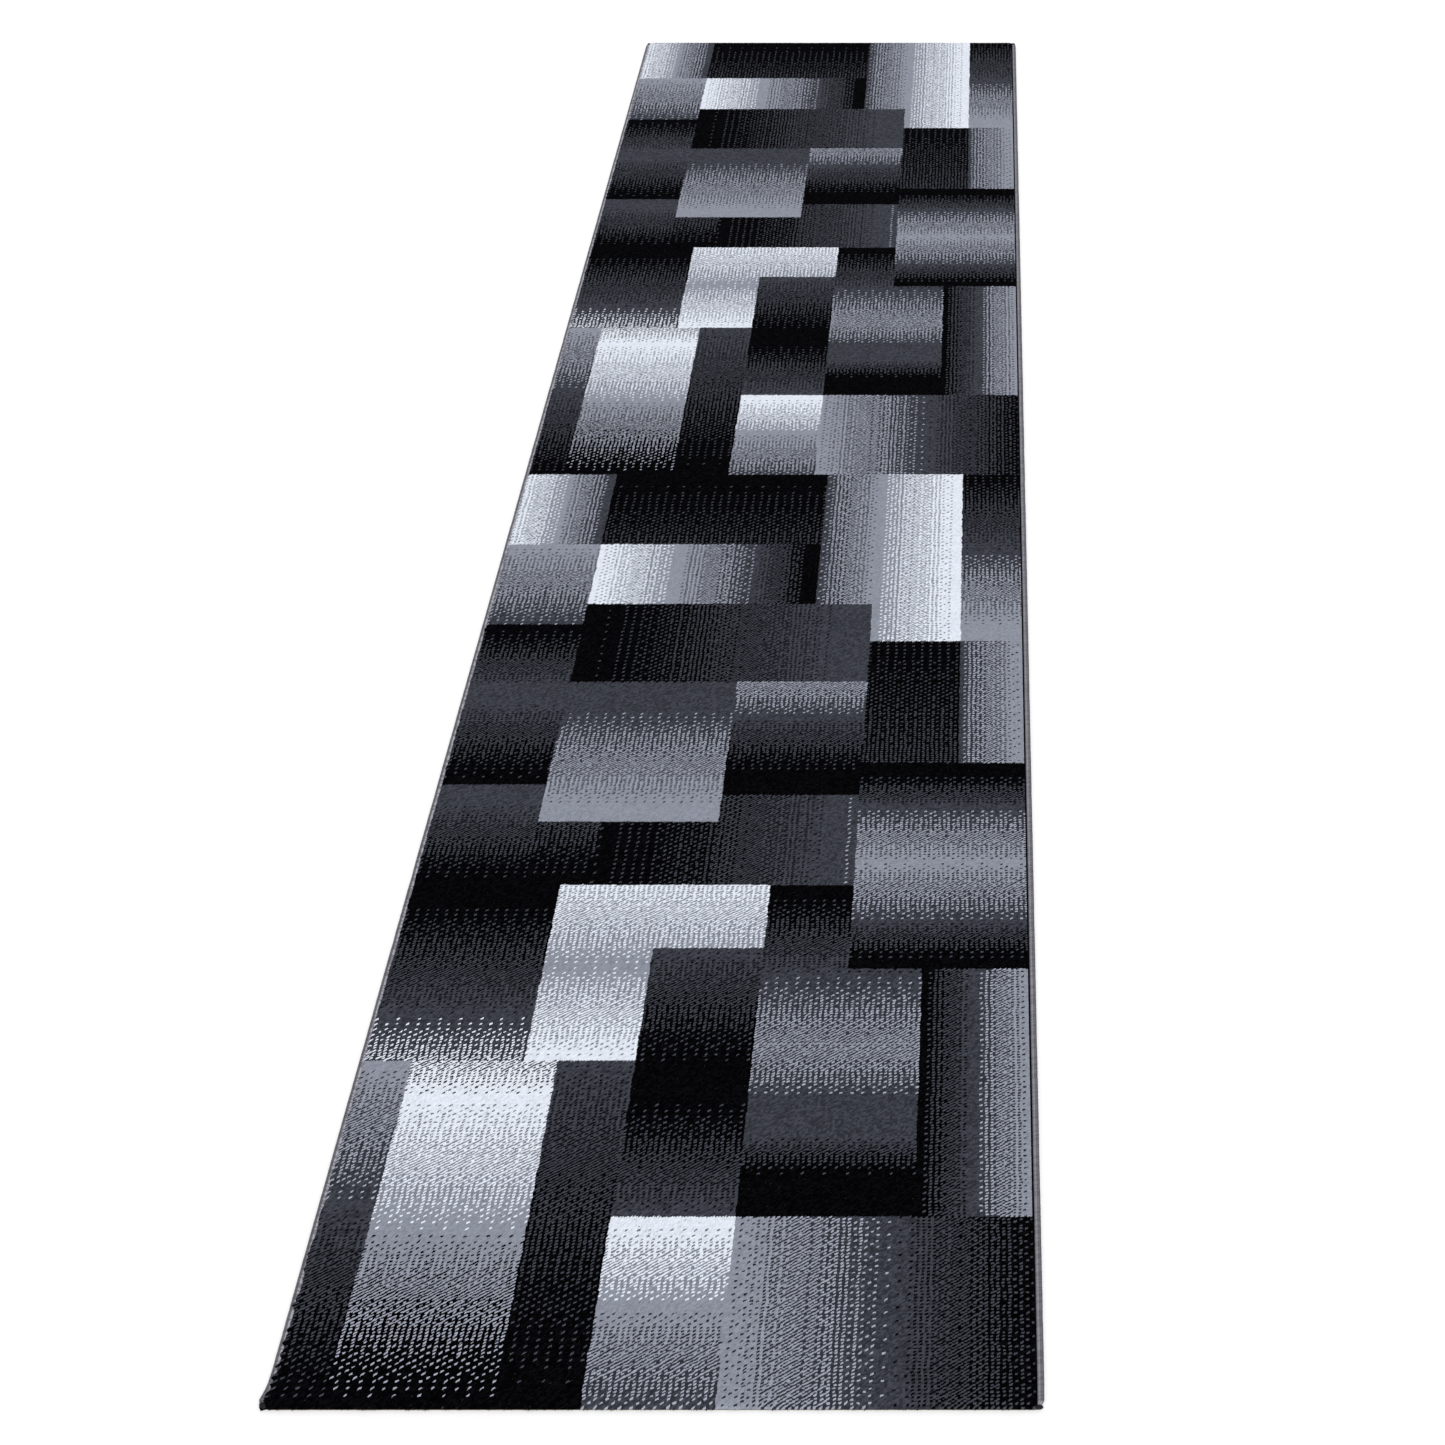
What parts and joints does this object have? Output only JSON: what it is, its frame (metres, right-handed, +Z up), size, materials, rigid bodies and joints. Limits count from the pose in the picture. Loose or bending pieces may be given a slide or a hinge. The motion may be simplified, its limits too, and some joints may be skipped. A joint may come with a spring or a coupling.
{
  "type": "runner rug",
  "caption": "Long narrow cut-pile floor runner with a woven block design of shaded rectangles, overlocked side edges and plain cut ends.",
  "frame": {"origin": "on the floor, under the middle of the rug lying flat", "axes": "+X across the rug, to the right seen from the front end; +Y along its length, from the front end to the rear end; +Z up, out of the pile"},
  "size_m": [0.8, 3, 0.009],
  "materials": {
    "black_pile_yarn": "soft matt cut pile",
    "charcoal_pile_yarn": "soft matt cut pile",
    "grey_pile_yarn": "soft matt cut pile",
    "white_pile_yarn": "soft matt cut pile",
    "ground_weave": "undyed jute and cotton weave",
    "latex_coat": "matt latex film",
    "overlock_yarn": "wrapped spun yarn",
    "cord_yarn": "twisted cord",
    "seam_thread": "twisted thread",
    "hem_tape": "plain woven tape",
    "seal_glue": "matt set glue",
    "label_cloth": "smooth woven label"
  },
  "bodies": {
    "root": {"pile_black": "black_pile_yarn", "pile_charcoal": "charcoal_pile_yarn", "pile_grey": "grey_pile_yarn", "pile_white": "white_pile_yarn", "face_weft_layer": "ground_weave", "warp_layer": "ground_weave", "back_weft_layer": "ground_weave", "back_coat": "latex_coat", "left_overlock": "overlock_yarn", "right_overlock": "overlock_yarn", "left_selvedge_cord": "cord_yarn", "right_selvedge_cord": "cord_yarn", "left_overlock_seam": "seam_thread", "right_overlock_seam": "seam_thread", "front_end_tape": "hem_tape", "rear_end_tape": "hem_tape", "front_end_seal": "seal_glue", "rear_end_seal": "seal_glue", "overlock_tails": "overlock_yarn", "care_label": "label_cloth", "care_label_stitching": "seam_thread"}
  },
  "joints": []
}
